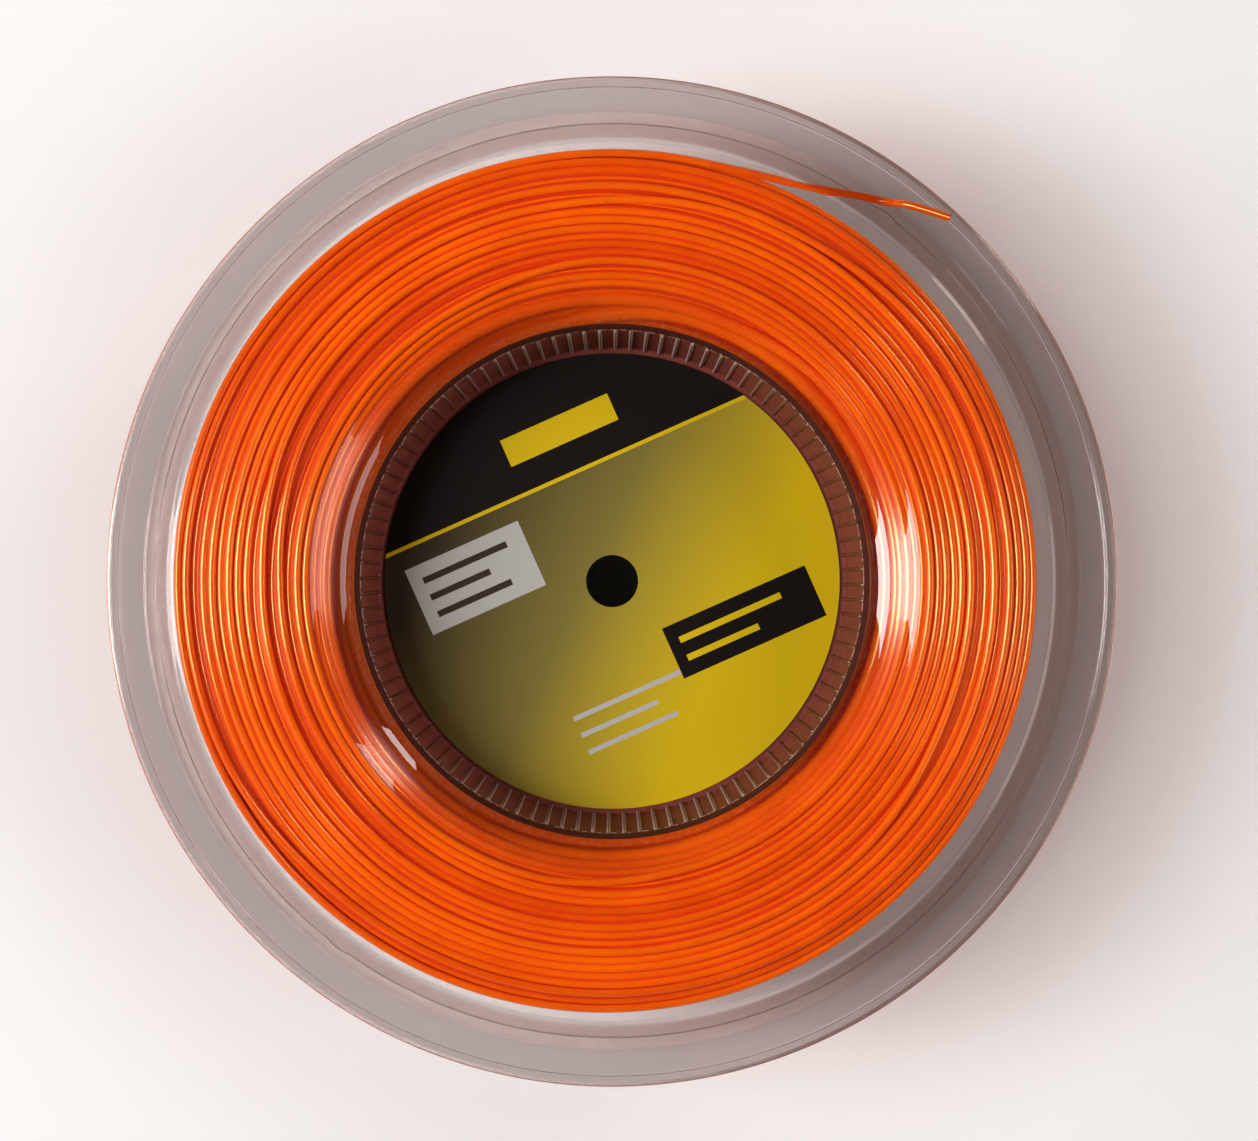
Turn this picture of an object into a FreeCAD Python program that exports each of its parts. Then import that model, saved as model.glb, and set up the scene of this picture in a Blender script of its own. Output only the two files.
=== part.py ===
"""Reel of racket string: two identical clear mouldings, two labels and one length of string.

The reel lies flat. Its axis is Z, the labelled front faces up, and z = 0 is the back rim that it
rests on. All sizes are in millimetres.
"""

import FreeCAD, Part
import math
import os

V = FreeCAD.Vector
UP = V(0, 0, 1)
ORIGIN = V(0, 0, 0)

# Spool
flange_r = 75.0         # outer radius of both flanges
flange_t = 1.6          # flange thickness inside the rim
winding_gap = 35.0      # free width between the flanges
lip_w = 1.6             # raised lip round the rim: radial width
lip_h = 1.4             # and height over the flange's outer face
rim_round = 0.5         # edge rounding on the rim and the lip
lip_foot_round = 0.6    # fillet where the lip meets the flange

# Hub cup of each half
cup_floor_r = 35.9      # inner radius of the cup wall at its floor
cup_flare = 1.8         # growth of that radius up to where the mouth's rounding starts
mouth_round = 5.0       # radius of the rounded mouth, on the side that is seen
hub_fillet = 9.0        # radius between the hub and the flange, on the winding side
wall_t = 1.6            # thickness of the cup wall
floor_t = 2.0           # thickness of each cup floor; the two floors meet back to back
floor_round = 0.5       # fillet round the cup floor
spindle_r = 3.45        # hole for the spindle, through both floors

# Fine ribs on the cup wall
rib_count = 100
rib_h = 0.35            # height over the wall
rib_w = 0.6

# Pegs and sockets that centre one half on the other
peg_count = 3
peg_circle_r = 20.0
peg_r = 1.5
peg_h = 1.2
socket_clear = 0.15     # radial clearance of a peg in its socket
socket_end_clear = 0.2

# Small holes in the flange that hold the string's loose end
string_hole_clear = 0.55    # radial clearance of the string in its hole
string_hole_chamfer = 0.3
string_hole_inset = 4.6     # from the rim to the hole's centre
string_hole_angle = 53.2    # degrees from +X; the second hole is opposite

# Labels
label_clear = 0.55      # gap between the label's edge and the ribs
label_hole_clear = 0.55     # the label's hole is this much larger, on the radius, than the spindle's
label_t = 0.2

# String
string_d = 1.2
winding_inset = 10.4    # from the rim down to the outside of the full winding
layer_clear = 0.15      # outer layer over the wound body
flange_clear = 0.3      # string to each flange
hub_clear = 0.3         # wound body over the hub
turn_gap = 0.9          # gap between two turns of the outer layer, which is wound a little open
lead_in_angle = 25.0    # degrees, slope at which the outer layer comes up out of the wound body
lead_in_r = 12.0        # radius of that bend
pocket_clear = 0.3      # sides of the slot that the string comes out of
pocket_depth = 1.2      # slot floor under the string's centre line

# The loose end's route after it leaves the winding. Each point is measured from the axis of the
# string hole: along the string, sideways, and up from the flange's inner face for the stretch
# behind the flange, or from its outer face for the stretch in front.
points_behind = [
    (-20.9, 0.0, -1.00),
    (-12.6, -0.25, -1.25),
    (-5.4, 0.15, -1.20),
    (-0.9, 0.0, -1.10),
]
points_in_front = [
    (0.85, 0.0, 1.05),
    (4.6, -0.35, 2.0),
    (8.2, -0.85, 3.0),
]
run_share = 0.45        # part of the shorter run that an arc takes up on each side of its point

# Derived sizes
string_r = string_d / 2
half_h = winding_gap / 2 + flange_t + lip_h
middle_z = half_h
face_z = winding_gap / 2
flange_top = face_z + flange_t
string_hole_r = string_r + string_hole_clear
string_hole_circle_r = flange_r - string_hole_inset
label_r = cup_floor_r - rib_h - label_clear
label_hole_r = spindle_r + label_hole_clear
turn_r = flange_r - winding_inset - string_r
core_r = turn_r - string_r - layer_clear
core_half = face_z - flange_clear
draft = math.atan(cup_flare / (flange_top - mouth_round - floor_t))
wall_out = wall_t / math.cos(draft)
pitch = string_d + turn_gap


def corner(before, point, after, radius):
    """The start, middle and end of the arc of this radius that rounds a corner."""
    to_before = (before - point).normalize()
    to_after = (after - point).normalize()
    half = to_before.getAngle(to_after) / 2
    reach = radius / math.tan(half)
    bisector = (to_before + to_after).normalize()
    middle = point + bisector * (radius / math.sin(half) - radius)
    return point + to_before * reach, middle, point + to_after * reach


def rounded_loop(corners):
    """A closed wire through (r, z, rounding) corners in the XZ plane."""
    points = [V(r, 0, z) for r, z, rounding in corners]
    stops = []
    for i, (r, z, rounding) in enumerate(corners):
        if rounding:
            after = points[(i + 1) % len(points)]
            stops.append(corner(points[i - 1], points[i], after, rounding))
        else:
            stops.append((points[i],))
    edges = []
    for i, stop in enumerate(stops):
        if len(stop) == 3:
            edges.append(Part.Arc(*stop).toShape())
        start = stop[-1]
        end = stops[(i + 1) % len(stops)][0]
        edges.append(Part.LineSegment(start, end).toShape())
    return Part.Wire(edges)


def turned(corners):
    """The solid that a closed outline makes when it turns about the Z axis."""
    return Part.Face(rounded_loop(corners)).revolve(ORIGIN, UP, 360)


def cup_wall_r(z):
    """Inner radius of the cup wall at a height over the joint face."""
    return cup_floor_r + (z - floor_t) * math.tan(draft)


def half_body():
    """One half before its ribs and holes, with its joint face at z = 0 and its lip up."""
    lip_in_r = flange_r - lip_w
    return turned([
        (spindle_r, 0, 0),
        (cup_wall_r(0) + wall_out, 0, 0),
        (cup_wall_r(face_z) + wall_out, face_z, hub_fillet),
        (flange_r, face_z, rim_round),
        (flange_r, half_h, rim_round),
        (lip_in_r, half_h, rim_round),
        (lip_in_r, flange_top, lip_foot_round),
        (cup_wall_r(flange_top), flange_top, mouth_round),
        (cup_floor_r, floor_t, floor_round),
        (spindle_r, floor_t, 0),
    ])


def ribs():
    """The fine ribs that stand on the cup wall from its floor to the rounded mouth."""
    top = flange_top - mouth_round
    depth = rib_h + wall_t / 2
    outline = Part.makePolygon([
        V(cup_wall_r(floor_t) - rib_h, -rib_w / 2, floor_t - floor_t / 4),
        V(cup_wall_r(top) - rib_h, -rib_w / 2, top),
        V(cup_wall_r(top) - rib_h + depth, -rib_w / 2, top + rib_h),
        V(cup_wall_r(floor_t) - rib_h + depth, -rib_w / 2, floor_t - floor_t / 4),
        V(cup_wall_r(floor_t) - rib_h, -rib_w / 2, floor_t - floor_t / 4),
    ])
    one = Part.Face(outline).extrude(V(0, rib_w, 0))
    return [one.rotated(ORIGIN, UP, 360 / rib_count * i) for i in range(rib_count)]


def string_hole(angle):
    """The cutter for one string hole, chamfered on both faces of the flange."""
    chamfer = string_hole_chamfer
    cutter = turned([
        (0, face_z - chamfer, 0),
        (string_hole_r + 2 * chamfer, face_z - chamfer, 0),
        (string_hole_r, face_z + chamfer, 0),
        (string_hole_r, flange_top - chamfer, 0),
        (string_hole_r + 2 * chamfer, flange_top + chamfer, 0),
        (0, flange_top + chamfer, 0),
    ])
    cutter.translate(V(string_hole_circle_r, 0, 0))
    return cutter.rotated(ORIGIN, UP, angle)


def moulded_half():
    """One half of the spool. Its string holes lie on the local X axis, and its pegs and sockets
    alternate so that a second half, turned over about that axis, fits this one."""
    step = 360 / peg_count
    pegs = []
    sockets = []
    for i in range(peg_count):
        peg_at = V(peg_circle_r, 0, 0)
        peg = Part.makeCylinder(peg_r, peg_h + floor_t / 2, peg_at - UP * peg_h)
        pegs.append(peg.rotated(ORIGIN, UP, step * (i + 0.25)))
        socket_r = peg_r + socket_clear
        socket = Part.makeCylinder(socket_r, peg_h + socket_end_clear, peg_at)
        sockets.append(socket.rotated(ORIGIN, UP, step * (i - 0.25)))
    body = half_body().multiFuse(ribs() + pegs)
    return body.cut(sockets + [string_hole(0), string_hole(180)])


def label(side):
    """One printed disc on its cup floor: side is 1 for the front and -1 for the back."""
    disc = Part.makeCylinder(label_r, label_t)
    ring = disc.cut(Part.makeCylinder(label_hole_r, label_t))
    low = middle_z + floor_t if side > 0 else middle_z - floor_t - label_t
    ring.translate(UP * low)
    return ring


def helix_point(turned_by):
    """A point of the outer layer's centre line and the direction there, after this many radians
    of winding. Seen from the front it winds clockwise, from the back flange to the front one."""
    angle = helix_start - turned_by
    point = V(turn_r * math.cos(angle), turn_r * math.sin(angle), helix_low)
    point.z += pitch * turned_by / (2 * math.pi)
    along = V(math.sin(angle), -math.cos(angle), pitch / (2 * math.pi * turn_r))
    return point, along.normalize()


def tangent_arc(start, along, end):
    """The circular arc from start, in the direction along, to end."""
    chord = end - start
    half = along.getAngle(chord)
    rise = (along * chord.Length - chord * math.cos(half)).normalize()
    middle = start + chord / 2 + rise * (chord.Length / 2 * math.tan(half / 2))
    return Part.Arc(start, middle, end).toShape()


def biarc(start, start_along, end, end_along):
    """Two arcs that join start to end and keep the direction at both."""
    gap = end - start
    both = start_along + end_along
    bend = 2 * (1 - start_along.dot(end_along))
    run = gap.dot(both)
    reach = (math.sqrt(run * run + bend * gap.dot(gap)) - run) / bend
    joint = (start + start_along * reach + end - end_along * reach) / 2
    first = tangent_arc(start, start_along, joint)
    second = tangent_arc(end, end_along * -1, joint)
    return [first, second]


def tube(edges):
    """A round string along these edges, and the length of its centre line."""
    path = Part.Wire(edges)
    first = edges[0]
    start = first.valueAt(first.FirstParameter)
    along = first.tangentAt(first.FirstParameter)
    section = Part.Wire([Part.Circle(start, along, string_r).toShape()])
    return path.makePipeShell([section], True, False), path.Length


def report_volume(name, solid, length):
    """Prints how near a tube's volume is to its section times its length."""
    ideal = math.pi * string_r ** 2 * length
    print(f"{name}: length {length:.2f} mm, volume share {solid.Volume / ideal:.5f}")


def lead_in():
    """The outer layer's first edges: a straight stretch that comes up out of the wound body, and
    the bend that lays it on. Also the start point, its direction and its outward normal."""
    end, along = helix_point(0)
    outward = V(end.x, end.y, 0).normalize()
    slope = math.radians(lead_in_angle)
    start_along = along * math.cos(slope) + outward * math.sin(slope)
    start_up = outward * math.cos(slope) - along * math.sin(slope)
    centre = end - outward * lead_in_r
    bend_start = centre + start_up * lead_in_r
    middle_dir = (outward + start_up).normalize()
    bend = Part.Arc(bend_start, centre + middle_dir * lead_in_r, end).toShape()
    start = bend_start - start_along * string_d
    straight = Part.LineSegment(start, bend_start).toShape()
    return [straight, bend], start, start_along, start_up


def winding_edges():
    """The outer layer's centre line: the lead-in, quarter turns as pairs of arcs, and a straight
    end of one string diameter."""
    edges = lead_in()[0]
    quarters = math.ceil(helix_turns * 4)
    step = helix_turns * 2 * math.pi / quarters
    for i in range(quarters):
        start, start_along = helix_point(i * step)
        end, end_along = helix_point((i + 1) * step)
        edges += biarc(start, start_along, end, end_along)
    edges.append(Part.LineSegment(end, end + end_along * string_d).toShape())
    return edges


def report_turn_gap(edges):
    """Prints the least gap between a stretch of the outer layer and the next turn of it, measured
    on points along the centre line."""
    per_edge = 12
    points = []
    for edge in edges:
        low = edge.FirstParameter
        step = (edge.LastParameter - low) / per_edge
        part = [edge.valueAt(low + step * i) for i in range(per_edge)]
        if points and (part[0] - points[-1]).Length > (part[-1] - points[-1]).Length:
            part = [edge.valueAt(low + step * (per_edge - i)) for i in range(per_edge)]
        points += part
    least = winding_gap
    nearby = per_edge * 4
    for i, point in enumerate(points):
        for other in points[i + nearby:i + nearby * 4]:
            least = min(least, (other - point).Length)
    print(f"outer layer: {helix_turns:.2f} turns, least gap to itself {least - string_d:.3f} mm")


def wound_body():
    """The string under the outer layer, as one body that fits the waist of the hub, with the slot
    that the outer layer comes out of."""
    hub_mid_r = cup_wall_r(0) + wall_out + hub_clear
    hub_end_r = cup_wall_r(core_half) + wall_out + hub_clear
    body = turned([
        (hub_mid_r, 0, 0),
        (hub_end_r, -core_half, hub_fillet + hub_clear),
        (core_r, -core_half, string_r),
        (core_r, core_half, string_r),
        (hub_end_r, core_half, hub_fillet + hub_clear),
    ])
    body.translate(UP * middle_z)
    start, along, up = lead_in()[1:]
    side = up.cross(along)
    width = string_d + 2 * pocket_clear
    low = start - up * pocket_depth - side * (width / 2)
    reach = along * (string_d + lead_in_r)
    outline = [low, low + reach, low + reach + side * width, low + side * width, low]
    slot = Part.Face(Part.makePolygon(outline)).extrude(up * lead_in_r)
    return body.cut(slot)


def loose_end(start, along):
    """The free end of the string: straight runs with tangent arcs, from the winding's end face
    through the string hole in the front flange."""
    hole = V(string_hole_circle_r, 0, middle_z)
    hole = FreeCAD.Rotation(UP, string_hole_angle).multVec(hole)
    level = V(along.x, along.y, 0).normalize()
    side = UP.cross(level)
    points = [start]
    for stretch, face in ((points_behind, face_z), (points_in_front, flange_top)):
        for forward, sideways, up in stretch:
            points.append(hole + level * forward + side * sideways + UP * (face + up))
    edges = []
    last = points[0]
    radii = []
    for before, point, after in zip(points, points[1:], points[2:]):
        run = min((point - before).Length, (after - point).Length)
        half = (before - point).getAngle(after - point) / 2
        radius = run_share * run * math.tan(half)
        radii.append(round(radius, 1))
        arc = corner(before, point, after, radius)
        edges.append(Part.LineSegment(last, arc[0]).toShape())
        edges.append(Part.Arc(*arc).toShape())
        last = arc[2]
    edges.append(Part.LineSegment(last, points[-1]).toShape())
    print("loose end: bend radii", radii)
    return tube(edges)


def save(name, shape):
    """Writes one piece and prints what it holds."""
    shape.exportStep(f"parts/{name}.step")
    box = shape.BoundBox
    print(f"{name}: {len(shape.Solids)} solid, valid {shape.isValid()}, {shape.Volume:.0f} mm3, "
          f"z {box.ZMin:.2f} to {box.ZMax:.2f}")


# The outer layer ends where its tangent meets the string hole, and starts at the back flange.
leave_angle = math.radians(string_hole_angle) + math.acos(turn_r / string_hole_circle_r)
helix_low = middle_z - core_half + string_r
helix_high = middle_z + core_half - string_r
helix_turns = (helix_high - helix_low) / pitch
helix_start = leave_angle + helix_turns * 2 * math.pi

os.makedirs("parts", exist_ok=True)

half = moulded_half()
front = half.rotated(ORIGIN, UP, string_hole_angle)
front.translate(UP * middle_z)
save("front_half", front)

back = half.rotated(ORIGIN, V(1, 0, 0), 180).rotated(ORIGIN, UP, string_hole_angle)
back.translate(UP * middle_z)
save("back_half", back)

save("front_label", label(1))
save("back_label", label(-1))
save("wound_string", wound_body())

outer_edges = winding_edges()
outer_layer, outer_length = tube(outer_edges)
report_turn_gap(outer_edges)
report_volume("outer layer", outer_layer, outer_length)
save("outer_string_layer", outer_layer)

leave, leave_along = helix_point(helix_turns * 2 * math.pi)
free_end, free_length = loose_end(leave + leave_along * string_d, leave_along)
report_volume("loose end", free_end, free_length)
save("loose_string_end", free_end)
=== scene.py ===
# %% [markdown]
# A reel of racket string, seen from straight above.
#
# The reel is two identical clear mouldings welded floor to floor, a printed label in each cup, and
# one long string wound between the flanges. Clear things show everything behind them, so most of
# the work is in making what lies behind real: every turn of string near a flange is a tube.

# %% Load the frame
import bpy
import math
import numpy as np
from mathutils import Matrix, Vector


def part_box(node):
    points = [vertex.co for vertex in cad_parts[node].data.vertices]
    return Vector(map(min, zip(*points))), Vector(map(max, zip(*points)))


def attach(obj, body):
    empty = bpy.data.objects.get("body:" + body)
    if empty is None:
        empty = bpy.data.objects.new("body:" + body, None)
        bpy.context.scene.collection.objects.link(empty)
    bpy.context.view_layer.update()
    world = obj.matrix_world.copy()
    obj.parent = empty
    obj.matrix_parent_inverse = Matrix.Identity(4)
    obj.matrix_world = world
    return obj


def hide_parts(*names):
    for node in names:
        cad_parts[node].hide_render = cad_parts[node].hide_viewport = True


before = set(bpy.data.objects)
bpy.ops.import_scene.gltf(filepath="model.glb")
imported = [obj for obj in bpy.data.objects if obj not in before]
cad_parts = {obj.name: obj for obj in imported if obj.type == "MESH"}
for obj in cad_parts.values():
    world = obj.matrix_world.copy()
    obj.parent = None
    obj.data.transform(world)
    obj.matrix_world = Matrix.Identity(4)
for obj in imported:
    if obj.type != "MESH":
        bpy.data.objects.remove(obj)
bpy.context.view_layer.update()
MM = 0.001
print("frame:", sorted(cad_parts))

# %% [markdown]
# Sizes come first. The overall ones are read from the frame, and the small ones repeat the
# drawing of the part. Shapes are worked out in millimetres, and one helper turns them into
# metres, because a number such as 0.35 is easier to judge than 0.00035.

# %% Sizes, in millimetres
half_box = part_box("front_half")
flange_r = half_box[1].x / MM
rim_z = half_box[1].z / MM
middle_z = rim_z / 2
winding_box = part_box("outer_string_layer")
winding_r = winding_box[1].x / MM
label_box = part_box("front_label")
label_r = label_box[1].x / MM
label_z = label_box[0].z / MM
label_t = (label_box[1].z - label_box[0].z) / MM
lip_w, lip_h, rim_round, lip_in_round = 1.6, 1.4, 0.5, 0.2
flange_t, wall_t, floor_t, floor_round = 1.6, 1.6, 2.0, 0.5
cup_floor_r, cup_flare, mouth_round, hub_fillet = 35.9, 1.8, 5.0, 9.0
spindle_r, label_hole_r = 3.45, 4.0
rib_count, rib_h, rib_w = 100, 0.35, 0.6
hole_r, hole_chamfer, hole_circle_r, hole_angle = 1.15, 0.3, 70.4, math.radians(53.2)
string_d = 1.2
string_r = string_d / 2
flange_top = rim_z - middle_z - lip_h
face_z = flange_top - flange_t
draft = math.atan(cup_flare / (flange_top - mouth_round - floor_t))
wall_out = wall_t / math.cos(draft)
print(f"rim radius {flange_r:.1f}, thickness {rim_z:.1f}, winding radius {winding_r:.1f}")

# %% [markdown]
# The camera looks straight down on the reel from about half a metre, as the photograph does. A
# long lens from further away would hide the cup's walls; this distance shows them as a ring of
# ribs round the label, so the distance is measured from the ring, and the lens follows from it.

# %% The camera
CAMERA_AT = (0.78, 1.81, 540.9)
CAMERA_TILT = (math.radians(-0.02), math.radians(-0.2), 0.0)
LENS = 96.5
camera_data = bpy.data.cameras.new("camera")
camera_data.lens = LENS
camera_data.sensor_width = 36.0
camera_data.sensor_fit = "HORIZONTAL"
camera_data.clip_start = 0.01
camera = bpy.data.objects.new("camera", camera_data)
camera.location = [c * MM for c in CAMERA_AT]
camera.rotation_euler = CAMERA_TILT
bpy.context.scene.collection.objects.link(camera)
bpy.context.scene.camera = camera
print("camera lens", camera_data.lens)

# %% [markdown]
# The string's loose end is a cord: a smooth curve of fixed length. It leaves the winding along a
# tangent, runs behind the front flange, turns up through a small hole and ends, cut square, just
# in front. A NURBS curve with a few listed control points bends the way stiff string does.

# %% The loose end's route
END_BEHIND = [(-20.9, 0.0, -1.00), (-12.6, -0.25, -1.25), (-5.4, 0.15, -1.20), (-0.9, 0.0, -1.10)]
END_IN_FRONT = [(0.85, 0.0, 1.05), (4.6, -0.35, 2.0), (8.2, -0.85, 3.0)]
WINDING_TOP_GAP = 0.3
turn_r = winding_r - string_r
leave_angle = hole_angle + math.acos(turn_r / hole_circle_r)
winding_top_z = middle_z + face_z - WINDING_TOP_GAP - string_r
along = np.array([math.sin(leave_angle), -math.cos(leave_angle), 0.0])
aside = np.array([math.cos(leave_angle), math.sin(leave_angle), 0.0])
hole_at = hole_circle_r * np.array([math.cos(hole_angle), math.sin(hole_angle), 0.0])
end_points = [turn_r * aside + along * string_d + (0, 0, winding_top_z)]
for stretch, face in ((END_BEHIND, middle_z + face_z), (END_IN_FRONT, middle_z + flange_top)):
    for forward, sideways, up in stretch:
        end_points.append(hole_at + along * forward + aside * sideways + (0, 0, face + up))
print("loose end:", len(end_points), "control points")

# %% Make the cord
cord_data = bpy.data.curves.new("loose_end", "CURVE")
cord_data.dimensions = "3D"
cord_data.resolution_u = 24
cord_data.bevel_depth = 1.0
cord_data.bevel_resolution = 6
cord_data.use_fill_caps = True
spline = cord_data.splines.new("NURBS")
spline.points.add(len(end_points) - 1)
for knot, point in zip(spline.points, end_points):
    knot.co = (*[c * MM for c in point], 1.0)
    knot.radius = string_r * MM
spline.order_u = 3
spline.use_endpoint_u = True
loose_end = bpy.data.objects.new("loose_end", cord_data)
bpy.context.scene.collection.objects.link(loose_end)
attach(loose_end, "root")
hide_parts("loose_string_end")
print("loose end made")

# %% [markdown]
# Almost every surface here is a grid: one direction runs round the reel or along a string, the
# other round a section. One helper joins a grid of points with quads, closes it, and turns the
# faces outwards by checking the sign of the volume that they enclose.

# %% Helpers for surfaces
def quads(rows, columns, close_rows, close_columns):
    """Faces of a rows x columns grid of points: each joins a point, its right neighbour, the one
    diagonally below and the one below. A closed direction also joins its last line to its first."""
    r = np.arange(rows if close_rows else rows - 1)[:, None]
    c = np.arange(columns if close_columns else columns - 1)[None, :]
    below = (r + 1) % rows
    right = (c + 1) % columns
    faces = np.stack([r * columns + c, r * columns + right, below * columns + right,
                      below * columns + c], axis=-1)
    return faces.reshape(-1, 4)


def enclosed(points, faces):
    """Volume inside closed faces: the sum over triangles (a, b, c) of a . (b x c) / 6."""
    total = 0.0
    for i in range(1, faces.shape[1] - 1):
        a, b, c = points[faces[:, 0]], points[faces[:, i]], points[faces[:, i + 1]]
        total += np.einsum("ij,ij->", a, np.cross(b, c)) / 6
    return total


SHARP_FROM = 35.0


def new_piece(name, points, face_sets, crease=SHARP_FROM):
    """A smooth-shaded piece from points in millimetres and arrays of faces, facing outwards."""
    volume = sum(enclosed(points, faces) for faces in face_sets)
    faces = [face for group in face_sets for face in group.tolist()]
    if volume < 0:
        faces = [face[::-1] for face in faces]
    mesh = bpy.data.meshes.new(name)
    mesh.from_pydata((points * MM).tolist(), [], faces)
    mesh.shade_smooth()
    mesh.set_sharp_from_angle(angle=math.radians(crease))
    piece = bpy.data.objects.new(name, mesh)
    bpy.context.scene.collection.objects.link(piece)
    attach(piece, "root")
    print(f"{name}: {len(points)} points, {abs(volume):.0f} cubic mm")
    return piece


def lathe(outline, angles):
    """Points of an outline turned about Z: (r cos a, r sin a, z) for every angle a."""
    r, z = outline[:, 0], outline[:, 1]
    return np.stack([r * np.cos(angles)[:, None], r * np.sin(angles)[:, None],
                     np.broadcast_to(z, (len(angles), len(z)))], axis=-1)


def full_turn(count):
    """Angles, count of them, evenly round a circle."""
    return np.arange(count) * (2 * math.pi / count)


# %% [markdown]
# The mouldings are turned shapes, so their outline is drawn once, half a section with every
# corner rounded by its own radius. The arcs matter more than the flats: in clear plastic an edge
# is seen only by the thin bright line that its rounding draws.
#
# One small step is not in the drawing: past the winding, the flange's inner face drops by a fifth
# of a millimetre. The photograph shows a crisp white band along the string's left edge, and only
# a sloping face can mirror a lamp there.

# %% The outline of one half
def cup_wall_r(z):
    """Inner radius of the cup wall at a height over the joint between the halves."""
    return cup_floor_r + (z - floor_t) * math.tan(draft)


def rounded_outline(corners):
    """Points of a closed outline of (r, z, rounding, steps) corners. A corner with a rounding
    becomes an arc that touches both sides: its centre lies on the bisector, rounding / sin(half)
    from the corner, and its points are centre + rounding * direction, turned in equal steps. One
    more point on each side, close to the arc, keeps the flats flat where the shading is smooth."""
    places = np.array([(r, z) for r, z, rounding, steps in corners], float)
    found = []
    for i, (r, z, rounding, steps) in enumerate(corners):
        here = places[i]
        if not rounding:
            found.append(here[None])
            continue
        back = places[i - 1] - here
        ahead = places[(i + 1) % len(places)] - here
        back /= np.linalg.norm(back)
        ahead /= np.linalg.norm(ahead)
        half = math.acos(np.clip(back @ ahead, -1, 1)) / 2
        reach = rounding / math.tan(half)
        bisector = (back + ahead) / np.linalg.norm(back + ahead)
        centre = here + bisector * rounding / math.sin(half)
        first = here + back * reach - centre
        last = here + ahead * reach - centre
        start = math.atan2(first[1], first[0])
        sweep = (math.atan2(last[1], last[0]) - start + math.pi) % (2 * math.pi) - math.pi
        turn = start + sweep * np.linspace(0, 1, steps + 1)
        arc = centre + rounding * np.stack([np.cos(turn), np.sin(turn)], axis=1)
        support = 0.12 * min(rounding, 1.0)
        found.append(np.vstack([here + back * (reach + support), arc,
                                here + ahead * (reach + support)]))
    return np.vstack(found)


WELD_GAP = 0.02
hub_out_r = cup_wall_r(face_z) + wall_out
fillet_r = hub_out_r + hub_fillet * math.tan((math.pi / 2 - draft) / 2)
fillet_z = face_z - hub_fillet
lip_in_r = flange_r - lip_w
rib_top = flange_top - mouth_round
wall_steps = [(cup_wall_r(z), z, 0, 0) for z in (rib_top + rib_h, rib_top, 10.0, 6.0, floor_t + 0.7)]
STEP_R, STEP_WIDTH, STEP_DEPTH = 65.3, 1.2, 0.2
step_run = np.linspace(0, 1, 13)
step_line = [(STEP_R + STEP_WIDTH * q, face_z - STEP_DEPTH * q * q * (3 - 2 * q), 0, 0)
             for q in step_run]
half_outline = rounded_outline([
    (spindle_r, WELD_GAP, 0, 0),
    (cup_wall_r(0) + wall_out, WELD_GAP, 0, 0),
    (cup_wall_r(face_z) + wall_out, face_z, hub_fillet, 14),
    *step_line,
    (flange_r, face_z - STEP_DEPTH, rim_round, 5),
    (flange_r, rim_z - middle_z, rim_round, 5),
    (lip_in_r, rim_z - middle_z, lip_in_round, 4),
    (lip_in_r, flange_top, lip_in_round, 4),
    (cup_wall_r(flange_top), flange_top, mouth_round, 14),
    *wall_steps,
    (cup_floor_r, floor_t, floor_round, 4),
    (label_r - 0.1, floor_t, 0, 0),
    (spindle_r, floor_t, 0, 0),
])
print("outline of one half:", len(half_outline), "points")

# %% [markdown]
# A hundred fine ribs stand on the cup wall and catch the light as a ring of short pale bars.
# They could be a hundred boxes joined on, but a dent in the grid is lighter and leaves one clean
# skin: the columns of the grid crowd together at each rib, and the wall steps inwards there.

# %% The skin of one half, with its ribs
RIB_FLANK = 0.23
RIB_FOOT = 0.1
NEAR = 0.05
rib_mid_r = cup_wall_r(rib_top / 2)
rib_columns = np.array([-rib_w / 2, -rib_w / 2 + RIB_FLANK, 0.0, rib_w / 2 - RIB_FLANK, rib_w / 2,
                        rib_w / 2 + 0.56, rib_w / 2 + 1.13])
rib_heights = np.array([0.0, 1.0, 1.0, 1.0, 0.0, 0.0, 0.0])
rib_starts = full_turn(rib_count)[:, None]
half_angles = (rib_starts + rib_columns[None, :] / rib_mid_r).ravel()
on_rib = np.tile(rib_heights, rib_count)


def half_points():
    """Points of one half: the lathe grid, with its radius less rib_h * (is on a rib) * (is on the
    wall), where the second factor fades over a short ramp at the rib's foot and at its top."""
    r, z = half_outline[:, 0], half_outline[:, 1]
    inside = (r > cup_floor_r - floor_round - 0.01) & (r < cup_wall_r(z) + NEAR)
    foot = np.clip((z - floor_t) / RIB_FOOT, 0, 1)
    top = np.clip((rib_top + rib_h - z) / rib_h, 0, 1)
    step_in = rib_h * on_rib[:, None] * (inside * foot * top)[None, :]
    points = lathe(half_outline, half_angles)
    shrink = 1 - step_in / r[None, :]
    points[..., 0] *= shrink
    points[..., 1] *= shrink
    return points.reshape(-1, 3)


# %% Which faces are frosted, satin or rubbed
# DARK_MOUTH is how far up the mouth the satin wall's faces reach; there they carry the wall's painted
# shade.
DARK_MOUTH = 2.7
MOUTH_REACH = 0.9
LABEL_MARGIN = 0.2
RUBBED_OFF_WALL, RUBBED_OFF_FACE = 0.8, 0.42
half_faces = quads(len(half_angles), len(half_outline), True, True)
outline_r, outline_z = half_outline[:, 0], half_outline[:, 1]
row_in_cup = (outline_r < cup_wall_r(outline_z) + MOUTH_REACH) & (outline_r > label_r - LABEL_MARGIN)
row_in_cup &= (outline_z > floor_t - NEAR) & (outline_z < rib_top + DARK_MOUTH)
row_on_wall = row_in_cup & (outline_z > floor_t + NEAR) & (outline_z < rib_top + rib_h + NEAR)
face_on_rib = (on_rib != np.roll(on_rib, -1))[:, None] & (
    row_on_wall & np.roll(row_on_wall, -1))[None, :]
face_on_wall = (row_in_cup & np.roll(row_in_cup, -1))[None, :] & ~face_on_rib
face_kind = face_on_rib.astype(np.int32) + 2 * face_on_wall
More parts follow.
